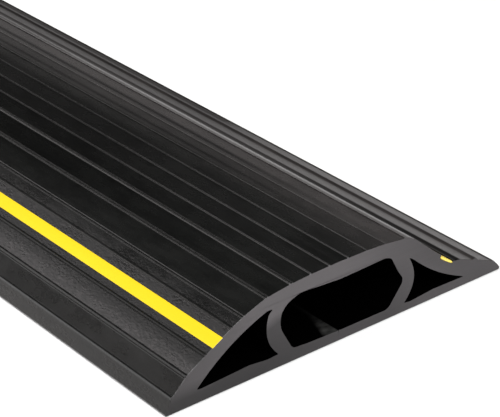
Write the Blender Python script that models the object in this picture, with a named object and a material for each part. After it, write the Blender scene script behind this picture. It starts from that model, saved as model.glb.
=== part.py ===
"""Floor cable cover: a length of flexible black extrusion with three channels and two yellow stripes.

The section lies in X and Z and is carried along Y. Inside this script a section point is a pair of
millimetres: the distance in from the left toe, and the height above the floor.
"""

import math

import bmesh
import bpy
import numpy as np

MM = 0.001

WIDTH = 83.0
LENGTH = 1800.0

# The ramped top as stations that a smooth curve runs through, from the left toe over to the right.
LEFT_RAMP = ((0.0, 0.4), (0.7, 1.7), (1.75, 3.55), (4.55, 6.25), (8.9, 8.85), (14.6, 12.0), (17.95, 13.85))
CROWN = ((23.0, 15.65), (28.45, 16.45), (34.55, 16.85), (42.0, 16.95), (49.5, 16.85), (56.5, 16.15))
RIGHT_RAMP = ((59.85, 14.85), (62.4, 12.4), (65.7, 9.5), (68.05, 7.7), (70.4, 6.25))
TOP_SPACING = 1.6

# Below the right ramp the flange runs out in straight facets, the first of them a level ledge.
RIGHT_FLANGE = ((71.8, 6.2), (73.6, 5.45), (75.85, 4.75), (78.2, 3.7), (81.25, 2.45), (82.35, 1.3), (83.0, 0.4))
TOE_NOSE = 0.3

# Anti-slip ribs that run the whole length. The crown is ribbed evenly, the ramp more widely.
RAMP_RIBS = (1.7, 4.65, 8.9, 14.6, 17.95, 23.2)
CROWN_RIBS = (28.8, 33.5, 38.1, 42.65, 47.1, 51.7, 56.8)
RIB_WIDTH = 0.7
RIB_HEIGHT = 0.2

# Each stripe by its middle and its width down the slope.
LEFT_STRIPE = (12.1, 2.65)
RIGHT_STRIPE = (68.5, 3.7)
STRIPE_THICKNESS = 0.5
STRIPE_GAP = 0.3

CENTRE_FLOOR = 2.1

# The knife slit under the centre channel, where a cable is pressed in.
SLIT_AT = 40.6
SLIT_WIDTH = 0.1

BLACK = (0.016, 0.016, 0.017)
YELLOW = (1.0, 0.83, 0.03)


def clear_scene():
    for obj in list(bpy.data.objects):
        bpy.data.objects.remove(obj, do_unlink=True)


def plastic(name, colour, roughness):
    material = bpy.data.materials.new(name)
    material.use_nodes = True
    shader = material.node_tree.nodes["Principled BSDF"]
    shader.inputs["Base Color"].default_value = (*colour, 1.0)
    shader.inputs["Roughness"].default_value = roughness
    shader.inputs["Metallic"].default_value = 0.0
    return material


def top_height(distance):
    """The top before its ribs: cubics through the stations, each slope taken from its two neighbours."""
    stations = np.array(LEFT_RAMP + CROWN + RIGHT_RAMP)
    at, height = stations.T
    slope = np.empty(len(at))
    slope[1:-1] = (height[2:] - height[:-2]) / (at[2:] - at[:-2])
    slope[0] = (height[1] - height[0]) / (at[1] - at[0])
    slope[-1] = (height[-1] - height[-2]) / (at[-1] - at[-2])
    span = np.clip(np.searchsorted(at, distance, side="right") - 1, 0, len(at) - 2)
    run = at[span + 1] - at[span]
    t = (distance - at[span]) / run
    start = height[span] * (1 + 2 * t) + run * slope[span] * t
    end = height[span + 1] * (3 - 2 * t) - run * slope[span + 1] * (1 - t)
    return start * (1 - t) ** 2 + end * t**2


def top_point(distance, lift=0.0):
    """A point of the top, lifted square off the surface."""
    step = 0.01
    ahead = top_height(distance + step)
    behind = top_height(distance - step)
    angle = math.atan2(ahead - behind, 2 * step)
    height = top_height(distance)
    return (distance - lift * math.sin(angle), height + lift * math.cos(angle))


def along_slope(distance, step):
    """How far in from the left toe a point lies that is a step down the slope from another."""
    rise = top_height(distance + 0.5) - top_height(distance - 0.5)
    return distance + step / math.hypot(1.0, rise)


def rib(middle):
    """A low round-topped ridge: a half wave of cosine over its width."""
    points = []
    for share in (-0.5, -0.25, 0.0, 0.25, 0.5):
        lift = RIB_HEIGHT * math.cos(math.pi * share) ** 2
        points.append(top_point(along_slope(middle, share * RIB_WIDTH), lift))
    return points


def inlay(middle, width, depth):
    """A shallow rectangle let into the slope, its mouth flush with the top."""
    left, right = along_slope(middle, -width / 2), along_slope(middle, width / 2)
    return [top_point(left), top_point(left, -depth), top_point(right, -depth), top_point(right)]


def groove(middle, width):
    """The seat that a stripe lies in, a gap wider and deeper than the stripe."""
    return inlay(middle, width + 2 * STRIPE_GAP, STRIPE_THICKNESS + STRIPE_GAP)


def stripe_section(middle, width):
    return inlay(middle, width, STRIPE_THICKNESS)


def top_outline():
    """The whole top from left toe to right toe, with plain stretches sampled between its features."""
    features = [rib(middle) for middle in RAMP_RIBS + CROWN_RIBS]
    features += [groove(*LEFT_STRIPE), groove(*RIGHT_STRIPE)]
    outline = [LEFT_RAMP[0]]
    for feature in sorted(features):
        start, end = outline[-1][0], feature[0][0]
        parts = max(1, round((end - start) / TOP_SPACING))
        for distance in np.linspace(start, end, parts + 1)[1:-1]:
            outline.append(top_point(float(distance)))
        outline.extend(feature)
    return outline + list(RIGHT_FLANGE)


def bow(start, end, sag, parts):
    """Points from start towards end on a shallow arc that leaves the straight line by sag, to its left."""
    start, end = np.array(start), np.array(end)
    middle, half = (start + end) / 2, (end - start) / 2
    left = np.array((-half[1], half[0])) / np.hypot(*half)
    points = []
    for share in np.arange(parts) / parts:
        along = 2 * share - 1
        points.append(tuple(middle + half * along + left * sag * (1 - along**2)))
    return points


def arcs_through(corners):
    """An outline from corners, each with the sag and the number of parts of the side that follows it."""
    points = []
    for (corner, sag, parts), following in zip(corners, corners[1:] + corners[:1]):
        points.extend(bow(corner, following[0], sag, parts))
    return points


def left_channel():
    """Anticlockwise, so a side with a positive sag swells into the channel."""
    return arcs_through((
        ((7.2, 2.85), 0.0, 1),
        ((8.1, 2.7), 0.0, 1),
        ((19.25, 3.15), 0.0, 1),
        ((23.35, 2.65), 0.0, 1),
        ((25.95, 2.8), 1.4, 7),
        ((23.75, 11.7), 0.1, 2),
        ((24.75, 12.65), -0.1, 2),
        ((23.55, 12.8), -1.1, 7),
    ))


def right_channel():
    """Anticlockwise too: both walls swell in, so the channel narrows towards its tip."""
    return arcs_through((
        ((57.25, 1.85), 0.0, 1),
        ((58.85, 1.65), 0.0, 1),
        ((64.85, 2.15), 0.0, 1),
        ((72.9, 1.95), 0.75, 7),
        ((59.75, 10.35), -0.05, 2),
        ((58.45, 11.25), 1.85, 7),
    ))


def centre_channel():
    """Clockwise from the slit's left lip to its right lip, so a positive sag swells out of the channel."""
    left_lip, right_lip = SLIT_AT - SLIT_WIDTH / 2, SLIT_AT + SLIT_WIDTH / 2
    return arcs_through((
        ((left_lip, CENTRE_FLOOR), 0.0, 1),
        ((32.8, 2.45), 0.0, 1),
        ((30.3, 2.65), 0.2, 2),
        ((29.0, 3.45), 0.0, 1),
        ((26.95, 7.4), 0.3, 4),
        ((26.95, 11.0), 0.4, 4),
        ((29.9, 13.3), 0.15, 2),
        ((32.6, 13.75), -0.1, 3),
        ((42.6, 13.15), 0.0, 2),
        ((51.6, 13.45), 0.2, 3),
        ((53.8, 12.75), 0.0, 1),
        ((55.45, 9.5), 0.0, 1),
        ((56.6, 7.7), 0.1, 2),
        ((56.45, 6.4), 0.0, 1),
        ((53.6, 2.85), 0.15, 2),
        ((52.25, CENTRE_FLOOR), 0.0, 1),
        ((right_lip, CENTRE_FLOOR), 0.0, 1),
    ))


def cover_outline():
    """The outer boundary: over the top, back along the base, and in through the slit on the way."""
    right_nose = [(WIDTH - TOE_NOSE / 3, TOE_NOSE / 3), (WIDTH - TOE_NOSE, 0.0)]
    left_nose = [(TOE_NOSE, 0.0), (TOE_NOSE / 3, TOE_NOSE / 3)]
    slit_right = (SLIT_AT + SLIT_WIDTH / 2, 0.0)
    slit_left = (SLIT_AT - SLIT_WIDTH / 2, 0.0)
    bore = [slit_right] + centre_channel()[::-1] + [slit_left]
    return top_outline() + right_nose + bore + left_nose


def section_edges(mesh, outline):
    """The closed loop of an outline as edges of a flat section at the near end."""
    verts = []
    for distance, height in outline:
        place = ((distance - WIDTH / 2) * MM, -LENGTH / 2 * MM, height * MM)
        verts.append(mesh.verts.new(place))
    return [mesh.edges.new((a, b)) for a, b in zip(verts, verts[1:] + verts[:1])]


def extrusion(name, outlines, material):
    """A bar with the given section, the first outline its boundary and the others its bores."""
    mesh = bmesh.new()
    edges = []
    for outline in outlines:
        edges.extend(section_edges(mesh, outline))
    bmesh.ops.triangle_fill(mesh, edges=edges, use_beauty=True, normal=(0.0, -1.0, 0.0))
    grown = bmesh.ops.extrude_face_region(mesh, geom=mesh.faces[:])
    far = [item for item in grown["geom"] if isinstance(item, bmesh.types.BMVert)]
    bmesh.ops.translate(mesh, verts=far, vec=(0.0, LENGTH * MM, 0.0))
    bmesh.ops.recalc_face_normals(mesh, faces=mesh.faces[:])
    data = bpy.data.meshes.new(name)
    mesh.to_mesh(data)
    mesh.free()
    data.materials.append(material)
    obj = bpy.data.objects.new(name, data)
    bpy.context.scene.collection.objects.link(obj)
    return obj


def main():
    clear_scene()
    black = plastic("black_pvc", BLACK, 0.5)
    yellow = plastic("yellow_pvc", YELLOW, 0.4)
    extrusion("cover", [cover_outline(), left_channel(), right_channel()], black)
    extrusion("stripe_left", [stripe_section(*LEFT_STRIPE)], yellow)
    extrusion("stripe_right", [stripe_section(*RIGHT_STRIPE)], yellow)


main()
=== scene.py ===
# %% [markdown]
# Cable cover, dressed in cells
#
# A floor cable cover is one long extrusion: flexible black compound is pushed through a die, so the
# same section runs the whole length, and two yellow lines are fed in at its flanks. A saw or knife
# then cuts it square. Everything here follows from that: one section, worked out across the width,
# carried along the length, and finishes that run with the extrusion or across the cut.

import math
from types import SimpleNamespace

import bpy
import numpy as np
from mathutils import Euler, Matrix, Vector
from mathutils.geometry import tessellate_polygon


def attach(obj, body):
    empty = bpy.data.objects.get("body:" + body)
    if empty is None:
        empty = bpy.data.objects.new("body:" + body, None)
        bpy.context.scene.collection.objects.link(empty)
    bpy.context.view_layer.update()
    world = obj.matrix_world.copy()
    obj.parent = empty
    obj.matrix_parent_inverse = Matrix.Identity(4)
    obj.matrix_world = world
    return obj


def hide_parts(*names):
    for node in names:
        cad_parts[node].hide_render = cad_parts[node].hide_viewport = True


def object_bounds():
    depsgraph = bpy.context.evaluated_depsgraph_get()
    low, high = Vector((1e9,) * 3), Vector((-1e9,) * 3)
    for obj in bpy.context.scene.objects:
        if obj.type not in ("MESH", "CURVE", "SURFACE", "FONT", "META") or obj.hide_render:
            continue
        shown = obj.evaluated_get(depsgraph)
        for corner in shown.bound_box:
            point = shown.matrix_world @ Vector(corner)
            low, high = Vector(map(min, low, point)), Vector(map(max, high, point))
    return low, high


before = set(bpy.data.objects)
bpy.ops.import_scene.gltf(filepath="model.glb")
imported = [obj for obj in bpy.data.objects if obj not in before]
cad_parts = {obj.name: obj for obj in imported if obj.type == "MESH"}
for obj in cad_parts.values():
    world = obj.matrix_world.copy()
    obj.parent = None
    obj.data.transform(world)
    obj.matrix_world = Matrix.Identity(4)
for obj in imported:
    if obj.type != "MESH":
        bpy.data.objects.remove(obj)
cad_low, cad_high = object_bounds()
MM = 0.001
HALF_WIDTH = cad_high.x / MM
HALF_LENGTH = cad_high.y / MM
WIDTH = 2 * HALF_WIDTH
print("section %.1f mm wide, %.0f mm long, %.1f mm high" % (WIDTH, 2 * HALF_LENGTH, cad_high.z / MM))

# %% [markdown]
# The camera
#
# The picture looks down at the near cut end from the left. The place could be found by trial, but a
# straight extrusion gives it exactly: all its long edges meet in one vanishing point, and the 83 mm
# base edge sets the scale. So the camera is stated by where it stands, which way it heads from the
# extrusion's own direction, how far it dips, and a slight roll.

# %% Stand the camera
CAMERA_AT = Vector((-0.21197, -1.14609, 0.19947))
CAMERA_HEADING = math.radians(37.753)
CAMERA_DIP = math.radians(27.830)
CAMERA_ROLL = math.radians(1.244)
CAMERA_LENS = 144.504
SENSOR_WIDTH = 36.0


def camera_turn(heading, dip, roll):
    """Looks along +Y, then rolls about the line of sight, dips, and heads round to the right."""
    level = Euler((math.pi / 2 - dip, 0.0, -heading)).to_quaternion()
    return level @ Euler((0.0, 0.0, -roll)).to_quaternion()


camera_data = bpy.data.cameras.new("camera")
camera_data.lens = CAMERA_LENS
camera_data.sensor_width = SENSOR_WIDTH
camera_data.clip_start = 0.01
camera_data.clip_end = 60.0
camera = bpy.data.objects.new("camera", camera_data)
camera.location = CAMERA_AT
camera.rotation_mode = "QUATERNION"
camera.rotation_quaternion = camera_turn(CAMERA_HEADING, CAMERA_DIP, CAMERA_ROLL)
bpy.context.scene.collection.objects.link(camera)
bpy.context.scene.camera = camera
bpy.context.scene.view_settings.view_transform = "Standard"
line_of_sight = camera.rotation_quaternion @ Vector((0, 0, -1))
print("camera looks along", tuple(round(part, 3) for part in line_of_sight))

# %% [markdown]
# The curve of the top
#
# The die's outline rises from the left toe over a broad crown and falls to a thin flange on the
# right. It could be one smooth spline, but on the real cover each band between two ribs is nearly
# flat and takes the light as one tone, with a step at the rib. So the height is worked out twice,
# as a smooth cubic and as straight bands from rib to rib, and the two are blended. All places are
# in millimetres: the distance in from the left toe, and the height above the floor.

# %% Work out the plain top
LEFT_RAMP = ((0.0, 0.4), (0.7, 1.7), (1.75, 3.55), (4.55, 6.25), (8.9, 8.85), (14.6, 12.1), (17.95, 13.75))
CROWN = ((23.0, 15.65), (28.45, 16.45), (34.55, 16.85), (42.0, 16.95), (49.5, 16.85), (56.5, 16.15))
RIGHT_RAMP = ((58.3, 15.82), (59.85, 14.9), (62.4, 12.7), (65.7, 9.8), (68.05, 7.98), (70.4, 6.4))
FLANGE = ((71.8, 6.2), (73.6, 5.5), (75.85, 4.65), (78.2, 3.7), (81.25, 2.45), (82.35, 1.3), (83.0, 0.4))
RIBS = (1.6, 5.0, 9.4, 15.3, 18.1, 23.5, 29.15, 33.9, 38.4, 42.95, 47.4, 52.1, 57.2)
BAND_FLATNESS = ((4.6, 0.85), (5.4, 0.3), (14.6, 0.3), (18.1, 0.75), (57.2, 0.75), (57.25, 0.0))

STATIONS = np.array(LEFT_RAMP + CROWN + RIGHT_RAMP)
FLANGE_FACETS = np.array(RIGHT_RAMP[-1:] + FLANGE)
CREASES = np.concatenate([STATIONS[:2, 0], RIBS, STATIONS[-6:, 0]])


def cubic_height(across):
    """Cubics through the stations: the slope at a station is that between its two neighbours."""
    at, height = STATIONS.T
    slope = np.gradient(height, at)
    slope[1:-1] = (height[2:] - height[:-2]) / (at[2:] - at[:-2])
    span = np.clip(np.searchsorted(at, across, side="right") - 1, 0, len(at) - 2)
    run = at[span + 1] - at[span]
    t = (across - at[span]) / run
    start = height[span] * (1 + 2 * t) + run * slope[span] * t
    end = height[span + 1] * (3 - 2 * t) - run * slope[span + 1] * (1 - t)
    return start * (1 - t) ** 2 + end * t**2


def plain_height(across):
    """Part cubic, part straight bands from one rib to the next, and straight facets on the flange."""
    bands = np.interp(across, CREASES, cubic_height(CREASES))
    flatness = np.interp(across, *np.array(BAND_FLATNESS).T)
    arch = (1 - flatness) * cubic_height(across) + flatness * bands
    return np.where(across > FLANGE_FACETS[0, 0], np.interp(across, *FLANGE_FACETS.T), arch)


def plain_slope(across, reach=0.3):
    """The slope over a short reach either side, as an angle."""
    return np.arctan2(plain_height(across + reach) - plain_height(across - reach), 2 * reach)


def top_points(across, lift=0.0):
    """Points of the top, lifted square off the slope."""
    angle = plain_slope(across)
    return np.stack([across - lift * np.sin(angle), plain_height(across) + lift * np.cos(angle)], axis=1)


print("crown %.1f mm high at its middle" % plain_height(np.array([42.0]))[0])

# %% [markdown]
# The ribs
#
# Anti-slip ribs run the whole length. A bump map could fake them, but they break the silhouette and
# catch the light on one side only, so they are part of the section. Looked at closely, a rib is one
# low ridge, or a strong one with a weak one beside it. A ridge is given by its middle and its width
# in millimetres and by how steeply its sides rise off the band, in degrees. Those last two decide
# what it mirrors: a light line with a dark one beyond it on the near flank, a thin light line on
# the crown, hardly anything on the shoulder, and a broad dark line on the flange.

# %% Work out the ridges
RIDGES = (
    (RIBS[0], 0.8, 38),
    (RIBS[1] - 0.42, 0.35, 33), (RIBS[1], 0.65, 37),
    (RIBS[2] - 0.43, 0.35, 15), (RIBS[2], 0.6, 38),
    (RIBS[3], 0.8, 36),
    (RIBS[4] - 0.24, 0.52, 23), (RIBS[4] + 0.24, 0.44, 19),
    (RIBS[5] - 0.22, 0.56, 28), (RIBS[5] + 0.28, 0.4, 24),
    (RIBS[6] - 0.1, 0.7, 34), (RIBS[6] + 0.44, 0.3, 28),
    (RIBS[7], 0.6, 35), (RIBS[8], 0.6, 37), (RIBS[9], 0.5, 38),
    (RIBS[10], 0.45, 17), (RIBS[11], 0.45, 10), (RIBS[12], 0.55, 30),
    (76.15, 1.95, 30), (80.8, 0.8, 31),
)
RIDGE_SOFTNESS = 0.4
RIDGE_AT, RIDGE_WIDTH, RIDGE_SIDE = np.array(RIDGES).T
RIDGE_HEIGHT = RIDGE_WIDTH / 2 * np.tan(np.radians(RIDGE_SIDE)) / (1 + RIDGE_SOFTNESS)


def rib_lift(across):
    """The ridges' height off the plain top: t - softness x sin(2 pi t) / 2 pi, t falling from 1 to 0."""
    spread = RIDGE_WIDTH * np.cos(plain_slope(RIDGE_AT))
    t = np.clip(1 - 2 * np.abs(across[:, None] - RIDGE_AT) / spread, 0.0, 1.0)
    wave = t - RIDGE_SOFTNESS * np.sin(2 * np.pi * t) / (2 * np.pi)
    return (RIDGE_HEIGHT * wave).max(axis=1)


print("%d ridges, %.2f to %.2f mm high" % (len(RIDGES), RIDGE_HEIGHT.min(), RIDGE_HEIGHT.max()))

# %% [markdown]
# The stripes' seats
#
# The yellow lines are fused into the flanks as the cover is extruded. The left one is a thin film,
# flush with the flank. The right one is a thicker rod that lies a little sunk, so that it shows as
# a chip on the cut. Each is given by its middle, its width down the slope, how far it is sunk and
# its thickness. Each seat is a hair larger than its stripe, so that two faces never coincide.

# %% Place the stripes and the points between them
LEFT_STRIPE = (12.1, 2.65, 0.0, 0.12)
RIGHT_STRIPE = (68.5, 3.9, 0.2, 0.5)
SEAT_GAP = 0.01
SEAT_MARGIN = 0.1
RIGHT_SEAT_MARGIN = 0.06
FIRST_POINT = 0.25
TOP_SPACING = 0.8
CLOSEST_POINTS = 0.012
HALF_RIDGE_SHARES = (0.08, 0.17, 0.25, 0.33, 0.42, 0.5, 0.58)
RIDGE_SHARES = np.array([-share for share in HALF_RIDGE_SHARES] + [0] + list(HALF_RIDGE_SHARES))


def stripe_edges(middle, width):
    """Where a stripe of this width, measured down the slope, begins and ends across the section."""
    half = width / 2 * np.cos(plain_slope(np.array([middle])))[0]
    return np.array([middle - half, middle + half])


def seat(stripe):
    """The stripe's bed as four points: down one side and up the other."""
    middle, width, sunk, thickness = stripe
    edges = stripe_edges(middle, width + 2 * SEAT_GAP)
    floor = top_points(edges, -sunk - thickness - SEAT_GAP)
    brink = top_points(edges)
    return np.array([brink[0], floor[0], floor[1], brink[1]])


def top_stretch(start, end):
    """The top from one place to another: even steps, every crease, and close steps over each ridge."""
    even = np.arange(start, end, TOP_SPACING)
    close = (RIDGE_AT[:, None] + RIDGE_WIDTH[:, None] * RIDGE_SHARES).ravel()
    across = np.sort(np.concatenate([even, close, CREASES, FLANGE_FACETS[:, 0]]))
    across = across[(across >= start) & (across <= end)]
    across = across[np.diff(across, prepend=start - 1) > CLOSEST_POINTS]
    return top_points(across, rib_lift(across))


def top_outline():
    """The whole top, left toe to right toe, with both seats let in."""
    left_low, left_high = stripe_edges(LEFT_STRIPE[0], LEFT_STRIPE[1] + 2 * SEAT_GAP)
    right_low, right_high = stripe_edges(RIGHT_STRIPE[0], RIGHT_STRIPE[1] + 2 * SEAT_GAP)
    toe = np.array(LEFT_RAMP[:1])
    flank = top_stretch(FIRST_POINT, left_low - SEAT_MARGIN)
    crown = top_stretch(left_high + SEAT_MARGIN, right_low - SEAT_MARGIN)
    flange = top_stretch(right_high + RIGHT_SEAT_MARGIN, FLANGE[-3][0])
    return np.concatenate([toe, flank, seat(LEFT_STRIPE), crown, seat(RIGHT_STRIPE), flange, FLANGE[-2:]])


print("top outline of %d points" % len(top_outline()))

# %% [markdown]
# The channels
#
# Three channels run through the cover: one wide one for the main cables and a thin one at each
# side. Their walls swell and hollow a little, as a soft extrusion does on leaving the die. Each is
# a ring of corners joined by shallow arcs. An arc is given by its sag, the distance by which it
# leaves the straight line, so a few numbers say all that the shape needs. The knife slit under the
# centre channel has two small lips where the blade has pushed the floor up.

# %% Draw the channels
SLIT_AT = 40.6
SLIT_WIDTH = 0.01
SLIT_LEFT = SLIT_AT - SLIT_WIDTH / 2
SLIT_RIGHT = SLIT_AT + SLIT_WIDTH / 2
CENTRE_FLOOR = 2.1
LIP_WIDTH = 0.5
LIP_TOP = CENTRE_FLOOR + 0.12
LIP_FOOT = CENTRE_FLOOR + 0.02
LIP_MOUTH = CENTRE_FLOOR - 0.4
LIP_SLANT = 0.1
ARC_SPACING = 0.35
TOE_NOSE = 0.3

LEFT_CHANNEL = (
    (7.2, 2.85, 0.0), (8.1, 2.7, 0.0), (19.25, 3.15, 0.0), (23.35, 2.65, 0.0), (25.95, 2.8, 1.4),
    (23.75, 11.7, 0.1), (24.75, 12.65, -0.1), (23.55, 12.8, -1.1),
)
RIGHT_CHANNEL = (
    (57.25, 1.85, 0.0), (58.85, 1.65, 0.0), (64.85, 2.15, 0.0), (72.9, 1.95, 0.75),
    (59.75, 10.35, -0.05), (58.45, 11.25, 1.85),
)
CENTRE_CHANNEL = (
    (SLIT_LEFT, LIP_MOUTH, 0.0), (SLIT_LEFT - LIP_SLANT, LIP_TOP, 0.0),
    (SLIT_AT - LIP_WIDTH, LIP_FOOT, 0.0),
    (32.8, 2.45, 0.0), (30.3, 2.65, 0.2), (29.0, 3.45, 0.0), (26.95, 7.4, 0.3), (26.95, 11.0, 0.4),
    (29.9, 13.3, 0.15), (32.6, 13.75, -0.1), (42.6, 13.15, 0.0), (51.6, 13.45, 0.2), (53.8, 12.75, 0.0),
    (55.45, 9.5, 0.0), (56.6, 7.7, 0.1), (56.45, 6.4, 0.0), (53.6, 2.85, 0.15), (52.25, CENTRE_FLOOR, 0.0),
    (SLIT_AT + LIP_WIDTH, LIP_FOOT, 0.0),
    (SLIT_RIGHT + LIP_SLANT, LIP_TOP, 0.0), (SLIT_RIGHT, LIP_MOUTH, 0.0),
)


def arcs(corners, closed=True):
    """Sides that leave the straight line by sag x (1 - u squared), u from -1 to 1 along each side."""
    corners = np.array(corners)
    start, sag = corners[:, :2], corners[:, 2]
    end = np.roll(start, -1, axis=0)
    if not closed:
        start, end, sag = start[:-1], end[:-1], sag[:-1]
    half = (end - start) / 2
    long_side = np.hypot(*half.T)
    left = np.stack([-half[:, 1], half[:, 0]], axis=1) / long_side[:, None]
    parts = np.where(sag == 0, 1, np.ceil(2 * long_side / ARC_SPACING)).astype(int)
    side = np.repeat(np.arange(len(parts)), parts)
    step = np.arange(len(side)) - np.repeat(np.cumsum(parts) - parts, parts)
    u = 2 * step / parts[side] - 1
    middle = start[side] + half[side]
    points = middle + half[side] * u[:, None] + left[side] * (sag[side] * (1 - u**2))[:, None]
    return points if closed else np.concatenate([points, corners[-1:, :2]])


def outer_outline():
    """Over the top, round the right toe, back along the base, in through the slit and out again."""
    right_nose = [(WIDTH - TOE_NOSE / 3, TOE_NOSE / 3), (WIDTH - TOE_NOSE, 0.0)]
    left_nose = [(TOE_NOSE, 0.0), (TOE_NOSE / 3, TOE_NOSE / 3)]
    bore = arcs(CENTRE_CHANNEL, closed=False)[::-1]
    way_in, way_out = [(SLIT_RIGHT, 0.0)], [(SLIT_LEFT, 0.0)]
    return np.concatenate([top_outline(), right_nose, way_in, bore, way_out, left_nose])


OUTER = outer_outline()
LEFT_RING, RIGHT_RING = arcs(LEFT_CHANNEL), arcs(RIGHT_CHANNEL)
print("outer outline of %d points, channels of %d and %d" % (len(OUTER), len(LEFT_RING), len(RIGHT_RING)))

# %% [markdown]
# Carrying a section along
#
# Blender could extrude the section with a modifier. Worked out as a grid it stays in our hands:
# rows are places along the length, columns are points of the outline, and every face is four
# neighbours of the grid. The first and last rows are drawn in by a hair, which leaves the fine
# worn edge that a cut end has.

# %% Carry an outline along the length
ROW_SPACING = 20.0
EDGE_WEAR = 0.05


def outward(outline):
    """The unit normal at each point, from the line between its two neighbours, turned a quarter left."""
    along = np.roll(outline, -1, axis=0) - np.roll(outline, 1, axis=0)
    normal = np.stack([-along[:, 1], along[:, 0]], axis=1)
    return normal / np.hypot(*normal.T)[:, None]


def rows_along():
    """Places along the length: even, with an extra row close to each end for the worn edge."""
    inner = HALF_LENGTH - EDGE_WEAR
    count = round(2 * inner / ROW_SPACING) + 1
    return np.concatenate([[-HALF_LENGTH], np.linspace(-inner, inner, count), [HALF_LENGTH]])


def shell_grid(outline, rows):
    """Points and quads of one outline carried over the rows: drawn in at both ends, save at the slit."""
    by_the_slit = np.abs(outline[:, 0] - SLIT_AT) < 2 * LIP_WIDTH
    inset = np.zeros((len(rows), len(outline), 1))
    inset[[0, -1], :, 0] = np.where(by_the_slit, 0.0, EDGE_WEAR)
    flat = outline[None] - inset * outward(outline)[None]
    points = np.empty((len(rows), len(outline), 3))
    points[..., 0] = flat[..., 0] - HALF_WIDTH
    points[..., 1] = rows[:, None]
    points[..., 2] = flat[..., 1]
    column = np.arange(len(outline))
    following = np.roll(column, -1)
    near = np.arange(len(rows) - 1)[:, None] * len(outline)
    far = near + len(outline)
    quads = np.stack([near + column, near + following, far + following, far + column], axis=-1)
    return points.reshape(-1, 3), quads.reshape(-1, 4)


print("%d rows along the length" % len(rows_along()))

# %% [markdown]
# Closing the ends
#
# The two cut faces are flat polygons with the channels as holes. Blender's own polygon filler makes
# the triangles. Each is then checked by its turn, the cross product of two sides, so that all of
# them face out of the cover and none is a mere line.

# %% Fill the ends and make the piece
SMALLEST_TURN = 1e-9
SHARP_ANGLE = math.radians(38)


def end_triangles(outlines, starts, row, facing):
    """The cut face: the first outline filled, the others open, every triangle turned to face out."""
    loops = [[Vector((x, z, 0.0)) for x, z in outline] for outline in outlines]
    flat = np.concatenate(outlines)
    triangles = np.array(tessellate_polygon(loops))
    a, b, c = (flat[triangles[:, k]] for k in range(3))
    turn = np.cross(b - a, c - a)
    triangles[turn * facing > 0] = triangles[turn * facing > 0][:, ::-1]
    triangles = triangles[np.abs(turn) > SMALLEST_TURN]
    rings = [start + row * len(o) + np.arange(len(o)) for o, start in zip(outlines, starts)]
    return np.concatenate(rings)[triangles]


def extruded(name, outlines, materials, side_slots):
    """A bar of the outlines, each with the slot of its side faces. The ends take the last material."""
    rows = rows_along()
    points, faces, slots, starts = [], [], [], []
    for outline, slot in zip(outlines, side_slots):
        start = sum(len(p) for p in points)
        grid, quads = shell_grid(outline, rows)
        starts.append(start)
        points.append(grid)
        faces.extend((quads + start).tolist())
        slots.append(np.resize(slot, len(quads)))
    for row, facing in ((0, 1), (len(rows) - 1, -1)):
        ends = end_triangles(outlines, starts, row, facing)
        faces.extend(ends.tolist())
        slots.append(np.full(len(ends), len(materials) - 1))
    mesh = bpy.data.meshes.new(name)
    mesh.from_pydata(np.concatenate(points) * MM, [], faces)
    for material in materials:
        mesh.materials.append(material)
    mesh.polygons.foreach_set("material_index", np.concatenate(slots).astype(np.int32))
    mesh.shade_smooth()
    mesh.set_sharp_from_angle(angle=SHARP_ANGLE)
    mesh.validate()
    piece = bpy.data.objects.new(name, mesh)
    bpy.context.scene.collection.objects.link(piece)
    print("%s: %d faces" % (name, len(mesh.polygons)))
    return piece


# %% [markdown]
# Finishes
#
# A finish here is a principled shader fed by noise. Every pattern is read from object coordinates,
# in metres, so a number says how many patches a metre holds along each axis, and a low number along
# Y draws the pattern out with the extrusion. The steps that every finish needs are short methods,
# because a node tree built by hand for each would hide what differs. Three of them, by_width,
# by_depth and by_height, draw a line through corners, each a place in millimetres and a value.

# %% Set up a way to mix finishes
def inward(millimetres):
    """A distance in from the left toe, as the X that a finish reads."""
    return (millimetres - HALF_WIDTH) * MM


def from_cut(millimetres):
    """A distance back from the near cut end, as the Y that a finish reads."""
    return (millimetres - HALF_LENGTH) * MM


def above_floor(millimetres):
    """A height above the floor, as the Z that a finish reads."""
    return millimetres * MM


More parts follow.
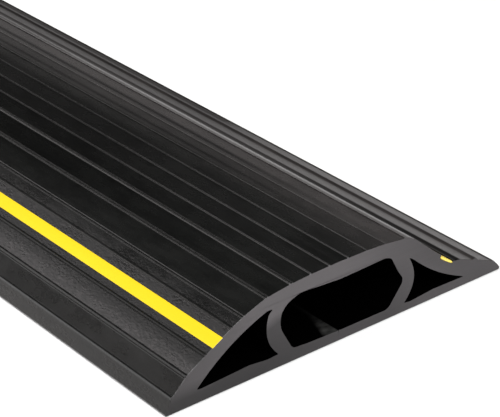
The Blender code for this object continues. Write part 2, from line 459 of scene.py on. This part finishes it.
class Recipe:
    """A material's node tree, with short calls for the nodes that every finish here uses."""

    def __init__(self, name):
        self.material = bpy.data.materials.new(name)
        self.material.use_nodes = True
        self.tree = self.material.node_tree
        self.shader = self.tree.nodes["Principled BSDF"]
        self.place = self.add("ShaderNodeTexCoord").outputs["Object"]
        split = self.add("ShaderNodeSeparateXYZ")
        self.feed(split.inputs[0], self.place)
        self.across, self.along, self.height = split.outputs

    def add(self, kind, **settings):
        """A node of this kind with its settings."""
        node = self.tree.nodes.new(kind)
        for name, value in settings.items():
            setattr(node, name, value)
        return node

    def feed(self, socket, value):
        """A number, a colour or another node's output into a socket."""
        if isinstance(value, bpy.types.NodeSocket):
            self.tree.links.new(value, socket)
        elif isinstance(value, tuple):
            socket.default_value = (*value, 1.0)
        else:
            socket.default_value = value

    def set(self, name, value):
        """The same into one of the shader's own sockets."""
        self.feed(self.shader.inputs[name], value)

    def noise(self, patches, detail=2.0, roughness=0.5):
        """Noise with so many patches to the metre along each axis."""
        mapping = self.add("ShaderNodeMapping")
        mapping.inputs["Scale"].default_value = patches
        self.feed(mapping.inputs["Vector"], self.place)
        texture = self.add("ShaderNodeTexNoise")
        texture.inputs["Scale"].default_value = 1.0
        texture.inputs["Detail"].default_value = detail
        texture.inputs["Roughness"].default_value = roughness
        self.feed(texture.inputs["Vector"], mapping.outputs["Vector"])
        return texture.outputs["Fac"]

    def work(self, operation, first, second):
        """One sum of two values."""
        node = self.add("ShaderNodeMath", operation=operation)
        self.feed(node.inputs[0], first)
        self.feed(node.inputs[1], second)
        return node.outputs["Value"]

    def total(self, *parts):
        """All the parts added up."""
        result = parts[0]
        for part in parts[1:]:
            result = self.work("ADD", result, part)
        return result

    def product(self, *parts):
        """All the parts multiplied."""
        result = parts[0]
        for part in parts[1:]:
            result = self.work("MULTIPLY", result, part)
        return result

    def rest(self, share):
        """What a share leaves of one."""
        return self.work("SUBTRACT", 1.0, share)

    def spread(self, source, low, high, start=0.3, end=0.7):
        """Carries a value from the range start to end over to the range low to high, and stops there."""
        node = self.add("ShaderNodeMapRange")
        values = (source, start, end, low, high)
        for name, value in zip(("Value", "From Min", "From Max", "To Min", "To Max"), values):
            self.feed(node.inputs[name], value)
        return node.outputs["Result"]

    def profile(self, source, coordinate, corners):
        """A line through corners of place and value: the first value plus every climb after it."""
        climbs = [
            self.spread(source, 0.0, high - low, coordinate(start), coordinate(end))
            for (start, low), (end, high) in zip(corners, corners[1:])
            if high != low
        ]
        return self.total(corners[0][1], *climbs)

    def by_width(self, *corners):
        """A profile over the distance in from the left toe."""
        return self.profile(self.across, inward, corners)

    def by_depth(self, *corners):
        """A profile over the distance back from the near cut end."""
        return self.profile(self.along, from_cut, corners)

    def by_height(self, *corners):
        """A profile over the height above the floor."""
        return self.profile(self.height, above_floor, corners)

    def blend(self, share, first, second):
        """Mixes two colours, each a colour or another node's output."""
        node = self.add("ShaderNodeMix", data_type="RGBA")
        self.feed(node.inputs[0], share)
        self.feed(node.inputs[6], first)
        self.feed(node.inputs[7], second)
        return node.outputs[2]

    def scale(self, colour, factor):
        """Brightens or darkens a colour by a number that varies over the surface."""
        node = self.add("ShaderNodeVectorMath", operation="SCALE")
        self.feed(node.inputs[0], colour)
        self.feed(node.inputs["Scale"], factor)
        return node.outputs["Vector"]

    def bump(self, *layers):
        """Stacks bumps, each a height pattern and its depth in metres, into the shader's normal."""
        normal = None
        for height, depth in layers:
            node = self.add("ShaderNodeBump")
            node.inputs["Strength"].default_value = 1.0
            node.inputs["Distance"].default_value = depth
            self.feed(node.inputs["Height"], height)
            if normal is not None:
                self.feed(node.inputs["Normal"], normal)
            normal = node.outputs["Normal"]
        self.set("Normal", normal)


print("the left toe is at X %.4f, the near cut end at Y %.4f" % (inward(0), from_cut(0)))

# %% [markdown]
# Where the black skin differs
#
# The extruded skin is nearly black, satin rather than shiny, and never even. The crown came smooth
# off the die. The near flank, where shoes and trolleys climb, is grained. The shoulder is painted
# greyer, a painted highlight, and painted shade lies in two lines beside its ribs and in the valley
# at the foot of the far ramp. The skin is glossiest by the fresh cut and duller further back, where
# it has been handled, and the crown is painted darker further back, a painted shade. One mask painted
# by hand could hold all this, but a share worked out from the place is sharper and can be read. Each
# share is a profile across the width, times one along the length, and the factor top keeps it off
# the underside.

# %% Say where the skin differs
DUST_BANDS = ((4.9, 0.1), (5.2, 1.2), (6.6, 1.2), (8.4, 0.1),
              (11.0, 0.1), (13.0, 0.7), (14.5, 0.7), (15.5, 0.4))
# Painted shade in two lines beside the shoulder's ribs.
RIB_SHADE_LINES = ((48.7, 0.0), (49.2, 0.75), (49.6, 0.75), (50.1, 0.0),
               (52.8, 0.0), (53.5, 1.0), (53.9, 1.0), (54.7, 0.0))
# Gaps in the crown's painted shade, which leave two ribs bright.
CROWN_SHADE_GAPS = ((22.8, 1.0), (23.0, 0.0), (23.7, 0.0), (23.9, 1.0),
               (28.5, 1.0), (28.7, 0.0), (29.5, 0.0), (29.7, 1.0))
DULL_RIBS = ((46.8, 0.0), (47.0, 1.0), (47.9, 1.0), (48.1, 0.0),
             (51.4, 0.0), (51.6, 0.55), (52.5, 0.55), (52.7, 0.0))


def skin_shares(recipe):
    """The shares by name, each from 0 where a trait is absent to 1 where it is full."""
    top = recipe.by_height((0.1, 0.0), (0.4, 1.0))
    return SimpleNamespace(
        flank=recipe.product(top, recipe.by_width((16.5, 1.0), (19.0, 0.0))),
        # Painted shade: the crown darker and duller further back from the cut.
        crown=recipe.product(
            top,
            recipe.by_width(*CROWN_SHADE_GAPS),
            recipe.by_width((19.0, 0.0), (24.0, 1.0), (44.0, 1.0), (46.0, 0.0)),
            recipe.by_depth((15, 0.0), (70, 1.0)),
        ),
        # Painted highlight: the shoulder lighter and greyer, less so further back.
        shoulder=recipe.product(
            recipe.by_width((45.0, 0.0), (52.0, 0.5), (52.5, 0.5), (55.0, 1.0)),
            recipe.by_depth((60, 1.0), (140, 0.7)),
        ),
        # Painted shade in two lines beside the shoulder's ribs, darker further back.
        rib_shade=recipe.product(top, recipe.by_width(*RIB_SHADE_LINES), recipe.by_depth((10, 0.0), (50, 0.85))),
        dull_ribs=recipe.product(top, recipe.by_width(*DULL_RIBS), recipe.by_depth((15, 0.0), (50, 0.85))),
        crest=recipe.product(
            top,
            recipe.by_width((57.2, 0.0), (58.0, 1.0), (66.0, 1.0), (70.0, 0.0)),
            recipe.by_depth((60, 0.0), (120, 0.95)),
        ),
        # Painted shade in the valley at the foot of the far ramp, deepest by the cut.
        valley=recipe.product(
            top,
            recipe.by_width((69.7, 0.0), (70.2, 1.0), (71.7, 1.0), (72.2, 0.0)),
            recipe.by_depth((15, 1.0), (100, 0.35)),
        ),
        rim=recipe.product(
            top,
            recipe.by_width((70.5, 0.0), (71.5, 0.86), (76.5, 0.86), (78.5, 0.99)),
            recipe.by_depth((15, 0.0), (85, 1.0)),
        ),
    )


print("dust in %d corners, grime in %d" % (len(DUST_BANDS), len(RIB_SHADE_LINES)))

# %% [markdown]
# Black compound
#
# A plain dark shader would look like a hole in the picture, so colour, gloss and bump each get
# their own pattern. The colour goes from one black to another by share, and then takes a pale dust
# in specks that sits in bands on the near flank. The gloss is what shows most on something so
# dark: it is held down where the skin is duller, and also in a strip below the stripe.

# %% Mix the black compound
CROWN_BLACK = (0.0070, 0.0073, 0.0069)
FLANK_BLACK = (0.0085, 0.0088, 0.0085)
# The shoulder's painted highlight.
SHOULDER_GLOW_BLACK = (0.0205, 0.0184, 0.0178)
# Painted shade for the valley, the lines beside the ribs and the crown further back.
SHADE_BLACK = (0.001, 0.001, 0.001)
DUST_GREY = (0.024, 0.022, 0.022)
FULL_GLOSS, VALLEY_GLOSS = 0.5, 0.03
DIE_LINE_DEPTH = 0.003 * MM
GRAIN_DEPTH = 0.04 * MM


def skin_colour(recipe, skin, mottle, die_lines):
    """The blacks blended by share, with painted highlight on the shoulder and painted shade in the valley,
    beside the ribs and on the crown further back, dust laid over the flank, and all of it mottled.
    """
    colour = recipe.blend(skin.flank, CROWN_BLACK, FLANK_BLACK)
    # Painted highlight: the shoulder blended lighter.
    colour = recipe.blend(skin.shoulder, colour, SHOULDER_GLOW_BLACK)
    # Painted shade: the valley, the lines beside the ribs and half of the crown share.
    darkened = recipe.total(skin.valley, skin.rib_shade, recipe.product(skin.crown, 0.5))
    colour = recipe.blend(darkened, colour, SHADE_BLACK)
    specks = recipe.spread(recipe.noise((1700, 800, 1700), 2.0, 0.6), 0.0, 1.0, 0.5, 0.72)
    colour = recipe.blend(recipe.product(skin.flank, recipe.by_width(*DUST_BANDS), specks), colour, DUST_GREY)
    tone = recipe.product(recipe.spread(mottle, 0.7, 1.3), recipe.spread(die_lines, 0.9, 1.1))
    return recipe.scale(colour, tone)


def skin_gloss(recipe, skin):
    """Full gloss times what every duller share leaves of it."""
    dulled = (skin.dull_ribs, skin.rim, skin.rib_shade, recipe.product(skin.crown, 0.7), skin.crest)
    sheen = recipe.product(
        *[recipe.rest(share) for share in dulled],
        recipe.by_width((7.0, 1.0), (8.3, 0.62), (11.0, 0.62), (13.0, 1.0)),
    )
    return recipe.product(sheen, recipe.spread(skin.valley, FULL_GLOSS, VALLEY_GLOSS, 0.0, 1.0))


def black_compound():
    """Smooth die lines on the crown, grain and mottling on the near flank, a rougher brow by the crest."""
    recipe = Recipe("black_compound")
    skin = skin_shares(recipe)
    die_lines = recipe.noise((1300, 4, 1300), 2.0)
    mottle = recipe.noise((260, 110, 260), 4.0, 0.65)
    grain_share = recipe.total(recipe.product(skin.flank, 0.95), 0.05)
    grained = recipe.product(recipe.noise((2300, 1500, 2300), 2.0, 0.5), grain_share)
    wander_share = recipe.total(recipe.product(skin.flank, 0.8), 0.2)
    roughness = recipe.total(
        recipe.product(recipe.spread(mottle, -0.07, 0.07), wander_share),
        recipe.by_width((57.0, 0.0), (59.5, 0.1)),
        recipe.spread(grained, 0.27, 0.30, 0.0, 0.7),
    )
    recipe.set("Base Color", skin_colour(recipe, skin, mottle, die_lines))
    recipe.set("Roughness", roughness)
    recipe.set("Specular IOR Level", skin_gloss(recipe, skin))
    recipe.set("IOR", 1.5)
    recipe.bump((die_lines, DIE_LINE_DEPTH), (grained, GRAIN_DEPTH))
    return recipe.material


black = black_compound()
print("black compound of %d nodes" % len(black.node_tree.nodes))

# %% [markdown]
# The cut face
#
# Where the blade went through, the compound is dull and pale grey, because the cut tears the
# surface open in fine lines. Over that grey, light and shade are painted: the arch is painted pale,
# and the webs and the base are painted darker, most of all at the left. One grey would look like
# paper, so the paleness is worked out from the place on the face.

# %% Mix the cut face
CUT_GREY = (0.085, 0.079, 0.082)
CUT_BLACK = (0.0, 0.0, 0.0)
KNIFE_LINES = (25.0, 1.0, 2600.0)
ARCH_RISE = 10.1
ARCH_FOOT, ARCH_BACK = 11.8 * MM, 14.2 * MM


def cut_compound():
    """Grey by place: it is arch where z + ARCH_RISE x squared is past the foot, and web or base below."""
    recipe = Recipe("cut_compound")
    # Painted light and shade: the arch painted paler, palest left of its middle, and the webs and base
    # painted darker, most of all low down and at the left.
    base = recipe.total(
        recipe.by_width((22, 0.20), (42, 0.40), (54, 0.40), (62, 0.56)),
        recipe.by_height((1, 0.0), (9, 0.18)),
    )
    arch = recipe.by_width((4, 0.60), (28, 1.12), (34, 1.12), (64, 0.60))
    dome = recipe.total(recipe.height, recipe.product(recipe.across, recipe.across, ARCH_RISE))
    on_arch = recipe.work(
        "MINIMUM",
        recipe.spread(dome, 0.0, 1.0, ARCH_FOOT, ARCH_BACK),
        recipe.by_height((2, 0.0), (5, 1.0)),
    )
    paleness = recipe.total(recipe.product(arch, on_arch), recipe.product(base, recipe.rest(on_arch)))
    lines = recipe.noise(KNIFE_LINES, 2.0)
    grain = recipe.noise((2400, 2400, 2400), 3.0, 0.6)
    patches = recipe.noise((90, 90, 90), 2.0)
    tone = recipe.product(paleness, recipe.spread(patches, 0.95, 1.05), recipe.spread(lines, 0.97, 1.03))
    recipe.set("Base Color", recipe.blend(tone, CUT_BLACK, CUT_GREY))
    recipe.set("Roughness", 0.8)
    recipe.bump((lines, 0.006 * MM), (grain, 0.008 * MM))
    return recipe.material


cut = cut_compound()
print("cut face of %d nodes" % len(cut.node_tree.nodes))

# %% [markdown]
# The skin inside the channels
#
# Inside the channels is bare skin that no light reaches, dull and painted nearer black than the outer
# skin, a painted shade. Only the floor of the centre channel shows something at the mouth: a pale
# wedge of painted light beside the slit, which closes and fades within a few centimetres.

# %% Mix the channel skin
# Painted shade: the channel skin nearer black than the outer skin. Painted light: a pale wedge at the mouth
# of the centre channel.
CHANNEL_BLACK = (0.0003, 0.0003, 0.0003)
MOUTH_LIGHT_GREY = (0.030, 0.030, 0.029)
MOUTH_LIGHT_LENGTH = 90.0
MOUTH_LIGHT_SLANT = 2.8 * MM


def channel_compound():
    """Dull black, painted darker than the outer skin, with a pale wedge of painted light left of the slit
    that narrows away from the cut end.
    """
    recipe = Recipe("channel_compound")
    slanted = recipe.total(recipe.across, recipe.by_depth((0, 0.0), (8, -MOUTH_LIGHT_SLANT)))
    # Painted light: a pale wedge on the centre channel's floor at the mouth, fading back from the cut.
    wedge = recipe.product(
        recipe.spread(slanted, 0.0, 1.0, inward(36.6), inward(37.8)),
        recipe.by_width((40.2, 1.0), (40.6, 0.0)),
        recipe.by_height((2.8, 1.0), (3.3, 0.0)),
        recipe.by_depth((1, 1.0), (6, 0.22)),
        recipe.by_depth((10, 1.0), (MOUTH_LIGHT_LENGTH, 0.0)),
    )
    marks = recipe.noise((350, 900, 350), 2.0)
    mouth_light = recipe.product(wedge, recipe.spread(marks, 0.3, 1.15))
    recipe.set("Base Color", recipe.blend(mouth_light, CHANNEL_BLACK, MOUTH_LIGHT_GREY))
    recipe.set("Roughness", 0.9)
    recipe.set("Specular IOR Level", 0.0)
    recipe.bump((marks, 0.01 * MM))
    return recipe.material


bare = channel_compound()
print("channel skin of %d nodes" % len(bare.node_tree.nodes))

# %% [markdown]
# Make the cover
#
# One mesh stands for the whole black extrusion. Its outer outline runs in through the slit and
# round the centre channel, because the slit joins the two, so the faces of that stretch take the
# channel's skin, and the rest of the outline takes the black compound.

# %% Build the cover
OUTER_SKIN, CHANNEL_SKIN = 0, 1
BASE_CLEARANCE = 0.4
TOE_CLEARANCE = 1.0


def outer_slots(outline):
    """The channel skin inside the centre channel and the slit, the outer skin elsewhere."""
    middle = (outline + np.roll(outline, -1, axis=0)) / 2
    after_top = np.arange(len(outline)) > np.argmax(outline[:, 0])
    between_toes = (middle[:, 0] > TOE_CLEARANCE) & (middle[:, 0] < WIDTH - TOE_CLEARANCE)
    inside = after_top & between_toes & (middle[:, 1] > BASE_CLEARANCE)
    return np.where(inside, CHANNEL_SKIN, OUTER_SKIN)


cover = extruded(
    "cover_extrusion",
    [OUTER, LEFT_RING, RIGHT_RING],
    [black, bare, cut],
    [outer_slots(OUTER), CHANNEL_SKIN, CHANNEL_SKIN],
)
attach(cover, "root")
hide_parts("cover")

# %% [markdown]
# The yellow lines
#
# Each line is its own thin bar in its seat, following the curve of the flank. The yellow is a clean,
# slightly glossy compound. A film this thin lets the black beneath deepen it here and there, so its
# colour wanders a little along the length. Where the blade tore it, it is paler and dull.

# %% Build the stripes
YELLOW = (0.80, 0.580, 0.010)
DEEP_YELLOW = (0.77, 0.545, 0.008)
PALE_YELLOW = (0.86, 0.70, 0.15)
STRIPE_POINTS = 9


def yellow_compound():
    """Even bright yellow, a little deeper in long patches, with a faint drawn sheen."""
    recipe = Recipe("yellow_compound")
    drawn = recipe.noise((500, 12, 500), 2.0)
    recipe.set("Base Color", recipe.blend(recipe.spread(drawn, 0.0, 1.0), YELLOW, DEEP_YELLOW))
    recipe.set("Roughness", recipe.spread(drawn, 0.42, 0.5))
    recipe.set("Specular IOR Level", 0.25)
    recipe.bump((recipe.noise((1600, 60, 1600), 2.0), 0.005 * MM))
    return recipe.material


def cut_yellow():
    """The same yellow torn open by the blade: paler and dull."""
    recipe = Recipe("cut_yellow")
    recipe.set("Base Color", PALE_YELLOW)
    recipe.set("Roughness", 0.8)
    return recipe.material


def stripe_outline(stripe):
    """Along the flank's curve and back beneath it, as thick as root of 1 - 0.9 x share to the sixth."""
    middle, width, sunk, thickness = stripe
    across = np.linspace(*stripe_edges(middle, width), STRIPE_POINTS)
    share = np.linspace(-1, 1, STRIPE_POINTS)
    round_off = thickness / 2 * (1 - np.sqrt(1 - np.abs(share) ** 6 * 0.9))
    above = top_points(across, -sunk - round_off)
    below = top_points(across, -sunk - thickness + round_off)
    return np.concatenate([above, below[::-1]])


yellow, pale = yellow_compound(), cut_yellow()
for name, stripe in (("stripe_left", LEFT_STRIPE), ("stripe_right", RIGHT_STRIPE)):
    line = extruded(name + "_line", [stripe_outline(stripe)], [yellow, pale], [0])
    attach(line, "root")
    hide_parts(name)

# %% [markdown]
# The floor
#
# The cover lies on a plain pale floor, so large that its edge is never in the picture. It lies a
# hair below the base, so that the two flat faces don't coincide.

# %% Lay the floor
FLOOR_SIZE = 60.0
FLOOR_DROP = 0.2 * MM
FLOOR_PAINT = (0.83, 0.83, 0.83)
FLOOR_PALE = (0.85, 0.85, 0.85)


def floor_material():
    """Plain pale paint, all but even."""
    recipe = Recipe("floor_paint")
    patches = recipe.spread(recipe.noise((3, 3, 3), 3.0), 0.0, 1.0)
    recipe.set("Base Color", recipe.blend(patches, FLOOR_PAINT, FLOOR_PALE))
    recipe.set("Roughness", 0.9)
    recipe.set("Specular IOR Level", 0.1)
    return recipe.material


floor_corners = [(x * FLOOR_SIZE / 2, y * FLOOR_SIZE / 2, -FLOOR_DROP)
                 for x, y in ((-1, -1), (1, -1), (1, 1), (-1, 1))]
floor_mesh = bpy.data.meshes.new("floor")
floor_mesh.from_pydata(floor_corners, [], [(0, 1, 2, 3)])
floor_mesh.materials.append(floor_material())
floor = bpy.data.objects.new("floor", floor_mesh)
bpy.context.scene.collection.objects.link(floor)
print("floor %.0f m square, %.1f mm below the base" % (FLOOR_SIZE, FLOOR_DROP / MM))

# %% [markdown]
# The lamps
#
# Black compound is drawn by what it reflects. Overhead is kept dark so that the crown stays black.
# One long soft box hangs to the left: the near flank mirrors it, and so does the left side of each
# rib. A low panel further out on the same side reaches the steep faces by the toe. A broad sun makes
# the floor pale everywhere. A panel's power is its glow times pi times its area, so its size can be
# changed without changing how bright it looks.

# %% Hang the lamps
SUN_AT = (-1.2, -2.0, 3.0)
SUN_POWER = 4.1
SUN_SPREAD = math.radians(50)
SOFT_BOX_AT = (-0.48, -0.35, 1.0)
SOFT_BOX_SIZE = (0.34, 3.1)
SOFT_BOX_GLOW = 2.3
SOFT_BOX_TINT = (1.0, 0.95, 0.955)
LOW_PANEL_AT = (-1.1, 0.4, 0.36)
LOW_PANEL_AIM = (0.0, 0.4, 0.3)
LOW_PANEL_SIZE = (0.2, 4.0)
LOW_PANEL_GLOW = 1.3
LOW_PANEL_TINT = (1.0, 0.94, 0.91)


def lamp(name, kind, power, place, aim=None, **settings):
    """A light at a place, turned to face a point, or straight down if none is given."""
    data = bpy.data.lights.new(name, kind)
    data.energy = power
    for key, value in settings.items():
        setattr(data, key, value)
    light = bpy.data.objects.new(name, data)
    light.location = place
    if aim is not None:
        light.rotation_euler = (Vector(aim) - Vector(place)).to_track_quat("-Z", "Y").to_euler()
    light.visible_camera = False
    bpy.context.scene.collection.objects.link(light)
    print("%s of %.1f" % (name, power))


def panel(name, glow, size, tint, place, aim=None):
    """A rectangular light whose power is glow x pi x area."""
    wide, long = size
    lamp(name, "AREA", glow * math.pi * wide * long, place, aim,
         shape="RECTANGLE", size=wide, size_y=long, color=tint)


lamp("sun", "SUN", SUN_POWER, SUN_AT, aim=(0, 0, 0), angle=SUN_SPREAD)
panel("soft_box", SOFT_BOX_GLOW, SOFT_BOX_SIZE, SOFT_BOX_TINT, SOFT_BOX_AT)
panel("low_panel", LOW_PANEL_GLOW, LOW_PANEL_SIZE, LOW_PANEL_TINT, LOW_PANEL_AT, LOW_PANEL_AIM)

# %% [markdown]
# The pale horizon
#
# A pale band low in the surroundings gives the crest and the far flange their bright edges, because
# they are seen at a glancing angle and mirror what is behind them. It is bright to either side and
# dim along the cover's own direction, and above it the surroundings are nearly black. A picture of
# a studio could do the same, but a formula of a few nodes says what each part of it is for.

# %% Draw the horizon
HORIZON_TINT = (1.0, 0.95, 0.94)
HORIZON_GLOW = 0.82
OVERHEAD_GLOW = 0.01
BAND_FULL, BAND_GONE = math.sin(math.radians(5)), math.sin(math.radians(23.5))
DIM_WITHIN, BRIGHT_BEYOND = 0.27, 0.5
STRAIGHT_AHEAD = 0.2


def eased(tree, source, start, end, low, high):
    """Carries a value from start..end over to low..high along an S-shaped curve."""
    node = tree.nodes.new("ShaderNodeMapRange")
    node.interpolation_type = "SMOOTHSTEP"
    for name, value in zip(("From Min", "From Max", "To Min", "To Max"), (start, end, low, high)):
        node.inputs[name].default_value = value
    tree.links.new(source, node.inputs["Value"])
    return node.outputs["Result"]


def pale_horizon():
    """A glow that falls with the sine of the elevation x a share that grows to either side."""
    world = bpy.data.worlds.new("studio")
    world.use_nodes = True
    tree = world.node_tree
    direction = tree.nodes.new("ShaderNodeTexCoord")
    split = tree.nodes.new("ShaderNodeSeparateXYZ")
    tree.links.new(direction.outputs["Generated"], split.inputs[0])
    sideways = tree.nodes.new("ShaderNodeMath")
    sideways.operation = "ABSOLUTE"
    tree.links.new(split.outputs["X"], sideways.inputs[0])
    band = eased(tree, split.outputs["Z"], BAND_FULL, BAND_GONE, HORIZON_GLOW, OVERHEAD_GLOW)
    to_the_sides = eased(tree, sideways.outputs["Value"], DIM_WITHIN, BRIGHT_BEYOND, STRAIGHT_AHEAD, 1.0)
    strength = tree.nodes.new("ShaderNodeMath")
    strength.operation = "MULTIPLY"
    tree.links.new(band, strength.inputs[0])
    tree.links.new(to_the_sides, strength.inputs[1])
    background = tree.nodes["Background"]
    tree.links.new(strength.outputs["Value"], background.inputs["Strength"])
    background.inputs["Color"].default_value = (*HORIZON_TINT, 1.0)
    return world


bpy.context.scene.world = pale_horizon()
print("horizon glows %.2f at the floor and %.2f overhead" % (HORIZON_GLOW, OVERHEAD_GLOW))
